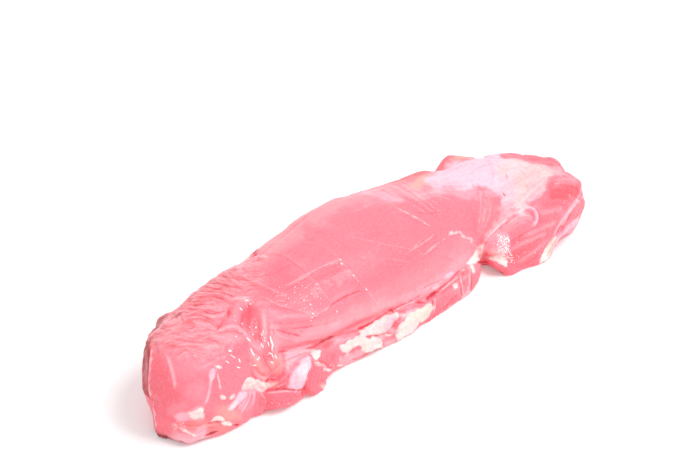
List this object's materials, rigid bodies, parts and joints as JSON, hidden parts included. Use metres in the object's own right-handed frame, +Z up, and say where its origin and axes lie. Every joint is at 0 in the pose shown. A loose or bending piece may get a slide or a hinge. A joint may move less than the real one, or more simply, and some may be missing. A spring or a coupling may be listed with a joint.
{
  "type": "raw pork tenderloin",
  "caption": "Whole raw pork tenderloin, lying flat: long main muscle with side muscle, head lobe, folded tail, silverskin and fat lumps.",
  "frame": {"origin": "Middle of the footprint, on the flat that the meat lies on.", "axes": "+X along the length from the thin tail to the thick head, +Y towards the far flank without the side muscle, +Z up."},
  "size_m": [0.2752, 0.0848, 0.048],
  "materials": {
    "raw_pork": null
  },
  "bodies": {
    "root": {"tenderloin": "raw_pork"}
  },
  "joints": []
}
